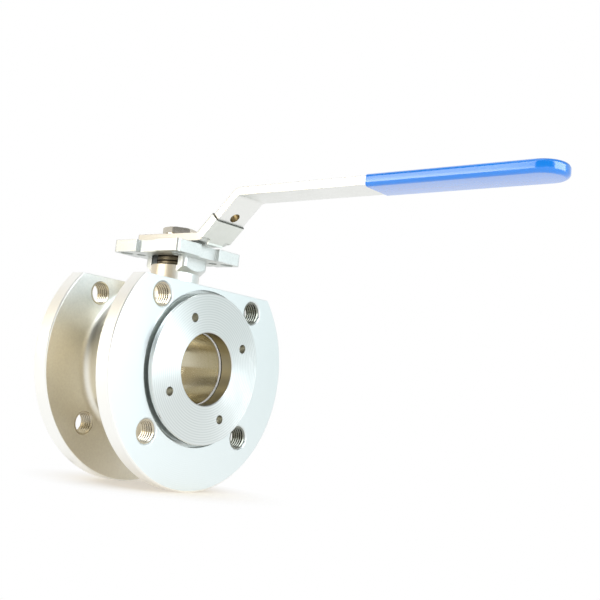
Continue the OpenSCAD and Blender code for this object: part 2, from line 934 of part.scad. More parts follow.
module grip_sleeve() {
  color(blue_vinyl)
    on_arm()
      difference() {
        translate([0, 0, lever_t / 2]) {
          translate([grip_s, 0, 0])
            rotate([90, 0, 90])
              linear_extrude(tip_s - grip_s)
                grip_section();
          translate([tip_s, 0, 0])
            rotate(-90)
              rotate_extrude(angle = 180)
                intersection() {
                  grip_section();
                  translate([0, -grip_t])
                    square([grip_w, 2 * grip_t]);
                }
        }
        translate([0, 0, -fit_gap])
          linear_extrude(lever_t + 2 * fit_gap)
            bar_plan(grip_s - past, arm_l + fit_gap, lever_w + 2 * fit_gap);
      }
}

// Round-edged bar around the incline's centre line, from s up
module lock_bar(s, l, w, t, r) {
  translate([s, 0, lever_t / 2])
    rotate([90, 0, 90])
      linear_extrude(l)
        round_rect(w, t, r);
}

// Folded sleeve around the incline, open at both ends and cut level at its foot
module lock_sleeve() {
  in_w = lever_w + 2 * lock_gap;
  in_t = lever_t + 2 * lock_gap;
  difference() {
    lock_bar(lock_s, lock_l, lock_w, lock_t, lock_edge_r);
    lock_bar(lock_s - past, lock_l + 2 * past, in_w, in_t, lock_edge_r - lock_sheet);
    translate([lock_s - past, -in_w / 2, lever_t])
      cube([lock_top_s - lock_s + past, in_w, lock_t]);
    rotate([0, lever_slope, 0])
      translate([-lock_l, -lock_w, lock_trim_z - lever_z - 2 * lock_t])
        cube([3 * lock_l, 2 * lock_w, 2 * lock_t]);
  }
}

module slide_lock() {
  color(turned_steel)
    on_incline() {
      lock_sleeve();
      from_side(tongue_w)
        polygon([
          [lock_s + tongue_strip, lock_low], [lock_s, lock_low], tongue_foot, tongue_heel,
          [tongue_miter_s, -lock_gap], [lock_s + tongue_strip, -lock_gap]
        ]);
    }
}

body();
seat_insert();
insert_gasket();
front_seat();
rear_seat();
ball();
stem();
thrust_washer();
stem_o_ring();
packing_rings();
packing_adapters();
gland();
disc_springs();
gland_nut();
tab_washer();
antistatic_balls();
antistatic_springs();
stop_plate();
stop_pin();
lever();
handle_washer();
handle_nut();
grip_sleeve();
slide_lock();
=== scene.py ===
# %% [markdown]
# A wafer ball valve with a locking lever
# The valve is a stainless body with two flanges, a screwed-in seat ring, a ball on a stem,
# and a lever with a dipped vinyl grip. Its solids come from CAD, so Blender adds what CAD
# leaves out: the finish of every surface, the cut threads, the soft grip and the light.

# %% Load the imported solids
import math

import bmesh
import bpy
from mathutils import Matrix, Vector


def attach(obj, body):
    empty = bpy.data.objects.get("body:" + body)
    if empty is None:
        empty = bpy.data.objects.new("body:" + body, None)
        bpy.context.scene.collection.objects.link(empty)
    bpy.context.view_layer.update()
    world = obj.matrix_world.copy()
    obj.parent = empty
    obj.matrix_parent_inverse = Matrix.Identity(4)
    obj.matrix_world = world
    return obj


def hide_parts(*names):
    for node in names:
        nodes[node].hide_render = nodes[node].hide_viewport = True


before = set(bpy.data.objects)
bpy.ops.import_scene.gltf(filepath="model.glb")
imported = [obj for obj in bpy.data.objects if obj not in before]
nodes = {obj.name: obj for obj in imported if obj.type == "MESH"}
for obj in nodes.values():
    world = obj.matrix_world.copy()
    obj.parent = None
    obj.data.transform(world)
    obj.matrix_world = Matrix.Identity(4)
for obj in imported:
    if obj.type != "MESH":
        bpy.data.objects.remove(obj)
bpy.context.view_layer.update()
MM = 0.001

# %% [markdown]
# Camera
# The photograph looks slightly up at the valve, from about 6 cm above the table. The camera
# was solved from rims, holes and corners whose place on the valve is known, so it is given
# as a place and three axes instead of a guess that is nudged until it looks right.

# %% Place the camera
CAMERA_PLACE = (0.50164, -0.48646, -0.02275)
CAMERA_RIGHT = (0.78519, 0.6103, 0.10492)
CAMERA_UP = (-0.01254, -0.15373, 0.98803)
CAMERA_BACK = (0.61913, -0.77711, -0.11305)
lens = bpy.data.cameras.new("studio_camera")
lens.sensor_width = 36
lens.lens = 59.54
camera = bpy.data.objects.new("studio_camera", lens)
bpy.context.scene.collection.objects.link(camera)
turn = Matrix((CAMERA_RIGHT, CAMERA_UP, CAMERA_BACK)).transposed().to_4x4()
camera.matrix_world = Matrix.Translation(CAMERA_PLACE) @ turn
bpy.context.scene.camera = camera
print("camera at", [round(v, 3) for v in camera.location])

# %% [markdown]
# Small tools for materials
# Colours are easiest to pick as web hex values, but shaders work in linear light, so one
# function converts them. A second fills a node's inputs: a value that is a socket becomes a
# link, and anything else is typed into the socket. A third adds one node with its settings
# and fills it. A Mix node has its numbers at inputs 2 and 3, its vectors at 4 and 5 and its
# colours at 6 and 7, and gives its result at output 0, 1 or 2.

# %% Colour and node helpers
def linear(hex_colour):
    channels = [int(hex_colour[i:i + 2], 16) / 255 for i in (1, 3, 5)]
    return [c / 12.92 if c <= 0.04045 else ((c + 0.055) / 1.055) ** 2.4 for c in channels] + [1.0]


def plug(tree, node, inputs):
    for name, value in inputs.items():
        if isinstance(value, bpy.types.NodeSocket):
            tree.links.new(value, node.inputs[name])
        else:
            node.inputs[name].default_value = value


def add(tree, kind, inputs=None, **settings):
    node = tree.nodes.new("ShaderNode" + kind)
    for name, value in settings.items():
        setattr(node, name, value)
    plug(tree, node, inputs or {})
    return node


def new_material(name):
    material = bpy.data.materials.new(name)
    material.use_nodes = True
    tree = material.node_tree
    return material, tree, tree.nodes["Principled BSDF"]


print("linear mid grey:", [round(c, 3) for c in linear("#808080")])

# %% [markdown]
# Cast stainless steel, blasted, with turned faces
# The body is one investment casting. After casting it is shot-blasted to an even satin,
# then its flange faces and bores are turned on a lathe. A lathe leaves rings around the
# flow axis, and blasting leaves fine dimples, so one material draws both and picks between
# them from the place and direction of each surface. Splitting the mesh would do it too,
# but the solid has to stay as it was packed.

# %% Body: tell its finishes and its painted shade apart by place and direction
BORE_R = 24.5 * MM
NECK_R = 49 * MM
HOUSING_R = 17 * MM
FLANGE_R = 82.5 * MM
FLANGE_T = 12 * MM
# From the ball's centre to the outer face of a flange
FACE_X = 36.5 * MM
cast_steel, tree, shader = new_material("stainless_cast_blasted_and_turned")
place = add(tree, "TexCoord").outputs["Object"]
x, y, z = add(tree, "SeparateXYZ", {0: place}).outputs
across = add(tree, "CombineXYZ", {"Y": y, "Z": z}).outputs[0]
radius = add(tree, "VectorMath", {0: across}, operation="LENGTH").outputs["Value"]
depth = add(tree, "Math", {0: x}, operation="ABSOLUTE").outputs[0]
# A face counts as turned where it looks along the flow axis, on the outer side of a flange
normal = add(tree, "NewGeometry").outputs["Normal"]
facing_x = add(tree, "SeparateXYZ", {0: normal}).outputs["X"]
along = add(tree, "Math", {0: facing_x}, operation="ABSOLUTE").outputs[0]
flat = add(tree, "Math", {0: along, 1: 0.6}, operation="GREATER_THAN").outputs[0]
outer = add(tree, "Math", {0: depth, 1: FACE_X - 0.9 * MM}, operation="GREATER_THAN").outputs[0]
turned = add(tree, "Math", {0: outer, 1: flat}, operation="MULTIPLY").outputs[0]
# Between the flanges the neck stands free, and their inner sides beyond it lie in a gap
BETWEEN_X = FACE_X - FLANGE_T + 0.4 * MM
between = add(tree, "Math", {0: depth, 1: BETWEEN_X}, operation="LESS_THAN").outputs[0]
off_neck = add(tree, "MapRange", {"Value": radius, "From Min": NECK_R + 0.5 * MM,
                                  "From Max": NECK_R + 3 * MM}).outputs[0]
gap = add(tree, "Math", {0: between, 1: off_neck}, operation="MULTIPLY").outputs[0]
free = add(tree, "Math", {0: between, 1: gap}, operation="SUBTRACT").outputs[0]
low = add(tree, "MapRange", {"Value": z, "From Min": 15 * MM, "From Max": 42 * MM,
                             "To Min": 1.0, "To Max": 0.0}).outputs[0]
shaded = add(tree, "Math", {0: gap, 1: low}, operation="MULTIPLY").outputs[0]
print(cast_steel.name, "so far", len(tree.nodes), "nodes")

# %% Body: rims, stem housing and bore
# The pad lies as far out as the rims, so a height between them leaves it out
UNDER_PAD_Z = 60 * MM
far_out = add(tree, "Math", {0: radius, 1: FLANGE_R - 1 * MM}, operation="GREATER_THAN").outputs[0]
under_pad = add(tree, "Math", {0: z, 1: UNDER_PAD_Z}, operation="LESS_THAN").outputs[0]
rim = add(tree, "Math", {0: far_out, 1: under_pad}, operation="MULTIPLY").outputs[0]
# The stem housing rises from the neck, and its front is told from its back
ABOVE_NECK_Z = 50 * MM
plan = add(tree, "CombineXYZ", {"X": x, "Y": y}).outputs[0]
from_stem = add(tree, "VectorMath", {0: plan}, operation="LENGTH").outputs["Value"]
round_stem = add(tree, "Math", {0: from_stem, 1: HOUSING_R + 0.2 * MM}, operation="LESS_THAN").outputs[0]
above = add(tree, "Math", {0: z, 1: ABOVE_NECK_Z}, operation="GREATER_THAN").outputs[0]
housing = add(tree, "Math", {0: above, 1: round_stem}, operation="MULTIPLY").outputs[0]
behind = add(tree, "MapRange", {"Value": x, "From Min": 10 * MM, "From Max": 15 * MM,
                                "To Min": 1.0, "To Max": 0.0}).outputs[0]
unblasted = add(tree, "Math", {0: housing, 1: behind}, operation="MULTIPLY").outputs[0]
bored = add(tree, "Math", {0: radius, 1: BORE_R + 1.5 * MM}, operation="LESS_THAN").outputs[0]
print(cast_steel.name, "so far", len(tree.nodes), "nodes")

# %% Body: tool rings, dimples and soft edges
# The tool's feed is about 0.3 mm a turn; it is drawn at 1.3 mm so that it shows
RING_PITCH = 1.3 * MM
phase = add(tree, "Math", {0: radius, 1: 2 * math.pi / RING_PITCH}, operation="MULTIPLY").outputs[0]
rings = add(tree, "Math", {0: phase}, operation="SINE").outputs[0]
# Blasting dimples of about 0.3 mm, drawn at 0.8 mm
dimples = add(tree, "TexNoise", {"Vector": place, "Scale": 1 / (0.8 * MM), "Detail": 3.0,
                                 "Roughness": 0.6}).outputs[0]
skin = add(tree, "Mix", {"Factor": turned, 2: dimples, 3: rings}).outputs[0]
# Cast edges are never sharp: the Bevel node rounds the shading of each edge by about 0.45 mm
soft_edge = add(tree, "Bevel", {"Radius": 0.45 * MM}, samples=6).outputs[0]
bump = add(tree, "Bump", {"Height": skin, "Strength": 0.2, "Distance": 0.03 * MM,
                          "Normal": soft_edge}).outputs[0]
# Uneven tone over about 12 mm, as from the blasting nozzle's passes
cloud = add(tree, "TexNoise", {"Vector": place, "Scale": 1 / (12 * MM), "Detail": 4.0}).outputs[0]
# Specks of about 1.5 mm, which is the grain of the ceramic mould
specks = add(tree, "TexNoise", {"Vector": place, "Scale": 1 / (1.5 * MM), "Detail": 2.0}).outputs[0]
grain = add(tree, "MapRange", {"Value": specks, "From Min": 0.3, "From Max": 0.7}).outputs[0]
blotch = add(tree, "Mix", {"Factor": 0.4, 2: cloud, 3: grain}).outputs[0]
dull = add(tree, "MapRange", {"Value": cloud, "To Min": 0.36, "To Max": 0.44}).outputs[0]
gloss = add(tree, "Mix", {"Factor": turned, 2: dull, 3: 0.36}).outputs[0]
print(cast_steel.name, "so far", len(tree.nodes), "nodes")

# %% Body: lay each finish's colour, and the painted light and shade, over the blasted one
colour = add(tree, "Mix", {"Factor": blotch, 6: linear("#d3d8d5"), 7: linear("#e6e9e6")},
             data_type="RGBA").outputs[2]
# Low between the flanges the inner faces get painted shade: a darker, warm tone, flecked with the mould's
# grain
skin_tone = add(tree, "Mix", {"Factor": grain, 6: linear("#e0dacb"), 7: linear("#e6e1d1")},
                data_type="RGBA").outputs[2]
finishes = [
    (turned, linear("#e4eae9")),
    (shaded, skin_tone),
    # The neck between the flanges gets painted light: it is drawn brightest
    (free, linear("#fcf8ea")),
    # The rims of the flanges are turned, and drawn near white as painted light for the bright floor they
    # mirror
    (rim, linear("#fcfcf8")),
    # The back of the housing gets a painted reflection: a warm tone drawn into its colour
    (unblasted, linear("#e5dcc9")),
    # Inside the bore the metal is drawn darker and warmer
    (bored, linear("#cfc7b0")),
]
for mask, over in finishes:
    colour = add(tree, "Mix", {"Factor": mask, 6: colour, 7: over}, data_type="RGBA").outputs[2]
plug(tree, shader, {"Metallic": 1.0, "Base Color": colour, "Roughness": gloss, "Normal": bump})
print(cast_steel.name, len(tree.nodes), "nodes")

# %% [markdown]
# Turned stainless steel
# The seat ring is turned from bar, and its raised face keeps coarse tool rings on purpose,
# because the pipe gasket grips them. Such rings smear a reflection across themselves, which
# gives the dark and bright fans around the bore. The fans come from an anisotropic shader
# whose tangent points outward from the flow axis, and the rings from a small bump.

# %% Seat ring: gasket rings
turned_steel, tree, shader = new_material("stainless_turned_with_gasket_rings")
place = add(tree, "TexCoord").outputs["Object"]
x, y, z = add(tree, "SeparateXYZ", {0: place}).outputs
across = add(tree, "CombineXYZ", {"Y": y, "Z": z}).outputs[0]
radius = add(tree, "VectorMath", {0: across}, operation="LENGTH").outputs["Value"]
# Gasket rings have a pitch of about 0.8 mm; they are drawn at 1.7 mm so that they show
GASKET_PITCH = 1.7 * MM
phase = add(tree, "Math", {0: radius, 1: 2 * math.pi / GASKET_PITCH}, operation="MULTIPLY").outputs[0]
rings = add(tree, "Math", {0: phase}, operation="SINE").outputs[0]
# Their depth wanders over about 9 mm
wander = add(tree, "TexNoise", {"Vector": place, "Scale": 1 / (9 * MM), "Detail": 2.0}).outputs[0]
height = add(tree, "Math", {0: rings, 1: wander}, operation="MULTIPLY").outputs[0]
bump = add(tree, "Bump", {"Height": height, "Strength": 0.6, "Distance": 0.05 * MM}).outputs[0]
# The ring valleys are drawn darker than the crests: painted shade in the grooves
crest = add(tree, "MapRange", {"Value": height, "From Min": -0.6, "From Max": 0.6}).outputs[0]
tone = add(tree, "Mix", {"Factor": crest, 6: linear("#d8dcda"), 7: linear("#eaedeb")},
           data_type="RGBA").outputs[2]
print(turned_steel.name, "so far", len(tree.nodes), "nodes")

# %% Seat ring: walls, holes and groove
# From the ball's centre to the raised face, and that face's radius
RAISED_X = 41.5 * MM
RAISED_R = 51 * MM
normal = add(tree, "NewGeometry").outputs["Normal"]
facing_x = add(tree, "SeparateXYZ", {0: normal}).outputs["X"]
along = add(tree, "Math", {0: facing_x}, operation="ABSOLUTE").outputs[0]
wall = add(tree, "Math", {0: along, 1: 0.5}, operation="LESS_THAN").outputs[0]
sunk = add(tree, "Math", {0: x, 1: RAISED_X - 0.8 * MM}, operation="LESS_THAN").outputs[0]
inner = add(tree, "Math", {0: radius, 1: RAISED_R - 1 * MM}, operation="LESS_THAN").outputs[0]
# The bore and the blind spanner holes get painted shade: they are drawn darker than the face, warmer in the
# bore
either = add(tree, "Math", {0: wall, 1: sunk}, operation="MAXIMUM").outputs[0]
bare = add(tree, "Math", {0: either, 1: inner}, operation="MULTIPLY").outputs[0]
blind = add(tree, "Math", {0: radius, 1: BORE_R + 3.5 * MM}, operation="GREATER_THAN").outputs[0]
oily = add(tree, "Mix", {"Factor": blind, 6: linear("#c8c0a7"), 7: linear("#c8c5b8")},
           data_type="RGBA").outputs[2]
# The relief groove beside the seat gets a painted shadow: a dark line
groove = add(tree, "Math", {0: radius, 1: BORE_R + 0.55 * MM, 2: 0.4 * MM}, operation="COMPARE").outputs[0]
dark = add(tree, "Mix", {"Factor": groove, 6: oily, 7: linear("#35332c")}, data_type="RGBA").outputs[2]
colour = add(tree, "Mix", {"Factor": bare, 6: tone, 7: dark}, data_type="RGBA").outputs[2]
# The raised face's outer wall gets a finishing cut, so it mirrors the flange sharply
outside = add(tree, "Math", {0: wall, 1: inner}, operation="SUBTRACT", use_clamp=True).outputs[0]
face_gloss = add(tree, "MapRange", {"Value": wander, "To Min": 0.26, "To Max": 0.36}).outputs[0]
gloss = add(tree, "Mix", {"Factor": outside, 2: face_gloss, 3: 0.12}).outputs[0]
# Reflections smear outward on the face, and along the flow on the walls
outward = add(tree, "VectorMath", {0: across}, operation="NORMALIZE").outputs[0]
lengthwise = add(tree, "CombineXYZ", {"X": 1.0}).outputs[0]
smear = add(tree, "Mix", {"Factor": wall, 4: outward, 5: lengthwise}, data_type="VECTOR").outputs[1]
plug(tree, shader, {"Metallic": 1.0, "Anisotropic": 0.72, "Base Color": colour, "Roughness": gloss,
                    "Normal": bump, "Tangent": smear})
print(turned_steel.name, len(tree.nodes), "nodes")

# %% [markdown]
# Rolled stainless steel, ground along its length
# The lever is cut from flat bar and finished on an abrasive belt, which leaves short lines
# along it. Noise that is stretched along the lever gives those lines in colour and bump.
# The belt passes over the two broad sides only, so the cut edges stay a shade darker; they are
# also painted darker as shade, so the lamps' reflection in them stays below white.

# %% Material of the lever
bar_steel, tree, shader = new_material("stainless_rolled_and_belt_ground")
place = add(tree, "TexCoord").outputs["Object"]
# Belt lines are about 0.1 mm wide; they are drawn at 0.5 mm, and 12 mm long
BELT_LINE = (1 / (12 * MM), 1 / (0.5 * MM), 1 / (0.5 * MM))
stretch = add(tree, "Mapping", {"Vector": place, "Scale": BELT_LINE}).outputs[0]
lines = add(tree, "TexNoise", {"Vector": stretch, "Scale": 1.0, "Detail": 3.0}).outputs[0]
# Gloss drifts over about 20 mm
cloud = add(tree, "TexNoise", {"Vector": place, "Scale": 1 / (20 * MM), "Detail": 2.0}).outputs[0]
tone = add(tree, "Mix", {"Factor": lines, 6: linear("#e9ebe7"), 7: linear("#f7f7f4")},
           data_type="RGBA").outputs[2]
# The cut edges are the faces that look sideways
normal = add(tree, "NewGeometry").outputs["Normal"]
facing_y = add(tree, "SeparateXYZ", {0: normal}).outputs["Y"]
sideways = add(tree, "Math", {0: facing_y}, operation="ABSOLUTE").outputs[0]
edge = add(tree, "Math", {0: sideways, 1: 0.7}, operation="GREATER_THAN").outputs[0]
# The sideways faces are drawn darker: partly the cut edge's own tone, partly painted shade
edged = add(tree, "Mix", {"Factor": edge, 6: tone, 7: linear("#d3d1ca")}, data_type="RGBA").outputs[2]
# The padlock hole's wall gets painted shade, drawn dark brown
PADLOCK_PLACE = Vector((48.67, 0, 105.06)) * MM
PADLOCK_AXIS = Vector((-1, 0, 1)).normalized()
PADLOCK_R = 3.5 * MM
from_hole = add(tree, "VectorMath", {0: place, 1: PADLOCK_PLACE}, operation="SUBTRACT").outputs[0]
off_axis = add(tree, "VectorMath", {0: from_hole, 1: PADLOCK_AXIS}, operation="CROSS_PRODUCT").outputs[0]
hole_r = add(tree, "VectorMath", {0: off_axis}, operation="LENGTH").outputs["Value"]
tint = add(tree, "Math", {0: hole_r, 1: PADLOCK_R + 0.1 * MM}, operation="LESS_THAN").outputs[0]
colour = add(tree, "Mix", {"Factor": tint, 6: edged, 7: linear("#8d7d5a")}, data_type="RGBA").outputs[2]
gloss = add(tree, "MapRange", {"Value": cloud, "To Min": 0.3, "To Max": 0.42}).outputs[0]
soft_edge = add(tree, "Bevel", {"Radius": 0.5 * MM}, samples=6).outputs[0]
bump = add(tree, "Bump", {"Height": lines, "Strength": 0.25, "Distance": 0.02 * MM,
                          "Normal": soft_edge}).outputs[0]
plug(tree, shader, {"Metallic": 1.0, "Base Color": colour, "Roughness": gloss, "Normal": bump})
print(bar_steel.name, len(tree.nodes), "nodes")

# %% [markdown]
# Pickled stainless sheet
# The lock is folded from thin sheet that was pickled after rolling: greyer and duller than
# the ground lever. Its upper edges, the faces that look up along the sleeve, get painted
# shade: they are drawn dark, and their direction picks them out.

# %% Material of the lock
SLEEVE_AXIS = Vector((1, 0, 1)).normalized()
sheet_steel, tree, shader = new_material("stainless_sheet_pickled_with_painted_edge_shade")
place = add(tree, "TexCoord").outputs["Object"]
normal = add(tree, "NewGeometry").outputs["Normal"]
# Pickling leaves a grain of about 0.1 mm, drawn at 0.7 mm, and clouds of about 6 mm
grain = add(tree, "TexNoise", {"Vector": place, "Scale": 1 / (0.7 * MM), "Detail": 2.0}).outputs[0]
cloud = add(tree, "TexNoise", {"Vector": place, "Scale": 1 / (6 * MM), "Detail": 3.0}).outputs[0]
tone = add(tree, "Mix", {"Factor": cloud, 6: linear("#dce0d9"), 7: linear("#eaede7")},
           data_type="RGBA").outputs[2]
up_sleeve = add(tree, "VectorMath", {0: normal, 1: SLEEVE_AXIS}, operation="DOT_PRODUCT").outputs["Value"]
# The upper edges are drawn dark as painted shade
sheared = add(tree, "Math", {0: up_sleeve, 1: 0.9}, operation="GREATER_THAN").outputs[0]
colour = add(tree, "Mix", {"Factor": sheared, 6: tone, 7: linear("#6f746d")}, data_type="RGBA").outputs[2]
gloss = add(tree, "MapRange", {"Value": cloud, "To Min": 0.32, "To Max": 0.44}).outputs[0]
bump = add(tree, "Bump", {"Height": grain, "Strength": 0.2, "Distance": 0.02 * MM}).outputs[0]
plug(tree, shader, {"Metallic": 1.0, "Base Color": colour, "Roughness": gloss, "Normal": bump})
print(sheet_steel.name, len(tree.nodes), "nodes")

# %% [markdown]
# Bright machined stainless steel
# The stem, the nuts and the pin are turned from bright bar and polished a little, so they
# mirror the studio. Faint scratches over a low roughness keep them from looking chromed.

# %% Material of the stem and nuts
bright_steel, tree, shader = new_material("stainless_ground_and_polished")
place = add(tree, "TexCoord").outputs["Object"]
# Polishing haze over about 4 mm, and hairlines of 0.2 mm drawn at 0.6 mm
haze = add(tree, "TexNoise", {"Vector": place, "Scale": 1 / (4 * MM), "Detail": 4.0}).outputs[0]
hairs = add(tree, "TexNoise", {"Vector": place, "Scale": 1 / (0.6 * MM), "Detail": 2.0}).outputs[0]
tone = add(tree, "Mix", {"Factor": haze, 6: linear("#c3bdae"), 7: linear("#d8d4ca")},
           data_type="RGBA").outputs[2]
gloss = add(tree, "MapRange", {"Value": haze, "To Min": 0.1, "To Max": 0.18}).outputs[0]
bump = add(tree, "Bump", {"Height": hairs, "Strength": 0.05, "Distance": 0.02 * MM}).outputs[0]
plug(tree, shader, {"Metallic": 1.0, "Base Color": tone, "Roughness": gloss, "Normal": bump})
print(bright_steel.name, len(tree.nodes), "nodes")

# %% [markdown]
# Tapped threads
# A tap tears the steel a little and leaves oil behind, so threads are darker than the
# polished parts. They get a material of their own, with a torn surface as bump and oil as
# patches of tone. The holes at +Y get painted shade: they are drawn darker than those at -Y.

# %% Material of the threads
tapped_steel, tree, shader = new_material("stainless_tapped_and_oiled_with_painted_shade")
place = add(tree, "TexCoord").outputs["Object"]
# Tears of about 0.5 mm, and oil patches of about 5 mm
tears = add(tree, "TexNoise", {"Vector": place, "Scale": 1 / (0.5 * MM), "Detail": 2.0}).outputs[0]
patches = add(tree, "TexNoise", {"Vector": place, "Scale": 1 / (5 * MM), "Detail": 2.0}).outputs[0]
tone = add(tree, "Mix", {"Factor": patches, 6: linear("#b4ab96"), 7: linear("#d4ccb8")},
           data_type="RGBA").outputs[2]
y = add(tree, "SeparateXYZ", {0: place}).outputs["Y"]
# The holes at +Y are drawn darker: painted shade
unwiped = add(tree, "Math", {0: y, 1: 0.0}, operation="GREATER_THAN").outputs[0]
colour = add(tree, "Mix", {"Factor": unwiped, 6: tone, 7: linear("#878980")}, data_type="RGBA").outputs[2]
gloss = add(tree, "MapRange", {"Value": patches, "To Min": 0.15, "To Max": 0.25}).outputs[0]
bump = add(tree, "Bump", {"Height": tears, "Strength": 0.1, "Distance": 0.02 * MM}).outputs[0]
plug(tree, shader, {"Metallic": 1.0, "Base Color": colour, "Roughness": gloss, "Normal": bump})
print(tapped_steel.name, len(tree.nodes), "nodes")

# %% [markdown]
# Honed bore of the ball
# All that shows of the ball is its clear way, which is honed: fine lines run round the
# bore, so a reflection smears along it into bands. The same anisotropic trick as on the
# seat ring does it, with the tangent along the flow.

# %% Material of the ball
honed_steel, tree, shader = new_material("stainless_honed_bore")
place = add(tree, "TexCoord").outputs["Object"]
# Honing lines of about 0.2 mm round the bore, drawn at 1 mm, and 30 mm long
HONING_LINE = (1 / (1 * MM), 1 / (30 * MM), 1 / (30 * MM))
stretch = add(tree, "Mapping", {"Vector": place, "Scale": HONING_LINE}).outputs[0]
lines = add(tree, "TexNoise", {"Vector": stretch, "Scale": 1.0, "Detail": 3.0}).outputs[0]
tone = add(tree, "Mix", {"Factor": lines, 6: linear("#ccc5ac"), 7: linear("#d8d2bd")},
           data_type="RGBA").outputs[2]
gloss = add(tree, "MapRange", {"Value": lines, "To Min": 0.16, "To Max": 0.26}).outputs[0]
bump = add(tree, "Bump", {"Height": lines, "Strength": 0.03, "Distance": 0.02 * MM}).outputs[0]
lengthwise = add(tree, "CombineXYZ", {"X": 1.0}).outputs[0]
plug(tree, shader, {"Metallic": 1.0, "Anisotropic": 0.8, "Base Color": tone, "Roughness": gloss,
                    "Normal": bump, "Tangent": lengthwise})
print(honed_steel.name, len(tree.nodes), "nodes")

# %% [markdown]
# Oiled spring steel
# The gland and the disc springs sit in the window under the pad. They are dark from heat
# treatment and a film of oil, so they are a dark metal with a patchy sheen.

# %% Material of the gland and springs
spring_steel, tree, shader = new_material("spring_steel_hardened_and_oiled")
place = add(tree, "TexCoord").outputs["Object"]
# Oil patches of about 3 mm
film = add(tree, "TexNoise", {"Vector": place, "Scale": 1 / (3 * MM), "Detail": 3.0}).outputs[0]
tone = add(tree, "Mix", {"Factor": film, 6: linear("#4a4436"), 7: linear("#857b66")},
           data_type="RGBA").outputs[2]
gloss = add(tree, "MapRange", {"Value": film, "To Min": 0.24, "To Max": 0.45}).outputs[0]
plug(tree, shader, {"Metallic": 1.0, "Base Color": tone, "Roughness": gloss})
print(spring_steel.name, len(tree.nodes), "nodes")

# %% [markdown]
# Sealing materials
# The seats and washers are PTFE, turned from white rod: waxy and never shiny. The stem
# packing is pressed graphite, flaky and grey-black with a soft metal sheen, and the small
# ring on the stem is moulded rubber. Only edges of them show, so each keeps to one pattern.

# %% Material of the seats
ptfe, tree, shader = new_material("ptfe_turned_white")
place = add(tree, "TexCoord").outputs["Object"]
# Waxy mottling over about 2.5 mm
mottle = add(tree, "TexNoise", {"Vector": place, "Scale": 1 / (2.5 * MM), "Detail": 2.0}).outputs[0]
tone = add(tree, "Mix", {"Factor": mottle, 6: linear("#faf9f5"), 7: linear("#ffffff")},
           data_type="RGBA").outputs[2]
gloss = add(tree, "MapRange", {"Value": mottle, "To Min": 0.38, "To Max": 0.5}).outputs[0]
plug(tree, shader, {"IOR": 1.38, "Base Color": tone, "Roughness": gloss})
print(ptfe.name, len(tree.nodes), "nodes")

# %% Material of the packing
graphite, tree, shader = new_material("graphite_foil_pressed")
place = add(tree, "TexCoord").outputs["Object"]
# Flakes of about 0.5 mm
flakes = add(tree, "TexVoronoi", {"Vector": place, "Scale": 1 / (0.5 * MM)}).outputs["Distance"]
tone = add(tree, "Mix", {"Factor": flakes, 6: linear("#26272a"), 7: linear("#3d3e42")},
           data_type="RGBA").outputs[2]
gloss = add(tree, "MapRange", {"Value": flakes, "To Min": 0.4, "To Max": 0.6}).outputs[0]
plug(tree, shader, {"Metallic": 0.4, "Base Color": tone, "Roughness": gloss})
print(graphite.name, len(tree.nodes), "nodes")

# %% Material of the stem's ring
rubber, tree, shader = new_material("rubber_moulded_black")
place = add(tree, "TexCoord").outputs["Object"]
# Bloom on the moulded skin, in patches of about 1.5 mm
bloom = add(tree, "TexNoise", {"Vector": place, "Scale": 1 / (1.5 * MM), "Detail": 3.0}).outputs[0]
tone = add(tree, "Mix", {"Factor": bloom, 6: linear("#1c1c1e"), 7: linear("#333335")},
           data_type="RGBA").outputs[2]
gloss = add(tree, "MapRange", {"Value": bloom, "To Min": 0.5, "To Max": 0.7}).outputs[0]
plug(tree, shader, {"Base Color": tone, "Roughness": gloss})
print(rubber.name, len(tree.nodes), "nodes")

# %% [markdown]
# Dress the solids
# Every solid that stays visible gets one of these materials. The list below goes by the
# solid's name, and the cell prints the solids that are not on it: the grip, which gets a
# shape of its own further on.

# %% Give each solid its material
dress = {
    cast_steel: ["body"],
    turned_steel: ["seat_insert"],
    bar_steel: ["lever", "stop_plate", "tab_washer"],
    sheet_steel: ["slide_lock"],
    honed_steel: ["ball"],
    bright_steel: ["stem", "gland_nut", "handle_nut", "handle_washer", "stop_pin",
                   "antistatic_balls", "antistatic_springs"],
    spring_steel: ["gland", "disc_springs"],
    ptfe: ["insert_gasket", "front_seat", "rear_seat", "thrust_washer", "packing_adapters"],
    graphite: ["packing_rings"],
    rubber: ["stem_o_ring"],
}
for material, names in dress.items():
    for name in names:
        nodes[name].data.materials.clear()
        nodes[name].data.materials.append(material)
left = sorted(set(nodes) - {n for names in dress.values() for n in names})
print("still to dress:", left)

# %% [markdown]
# Cut threads in the flange holes
# Studs screw into both flanges, so each hole has an M16 thread with a 2 mm pitch. A bump
# could fake it, but looking into a hole shows real ridges, so one ridge is drawn as a small
# trapezium and spun round the hole while it steps along it. The coil starts and ends
# outside the metal, and two cuts trim it to the hole.

# %% Spin one ridge
PITCH = 2 * MM
HOLE_R = 8 * MM
ROOT_HALF = 0.87 * MM
CREST_HALF = 0.25 * MM
CREST_R = HOLE_R - 1.08 * MM
# The root is buried a little, so that no gap shows between the ridge and the hole
BURIED_R = HOLE_R + 0.02 * MM
STEPS = 28


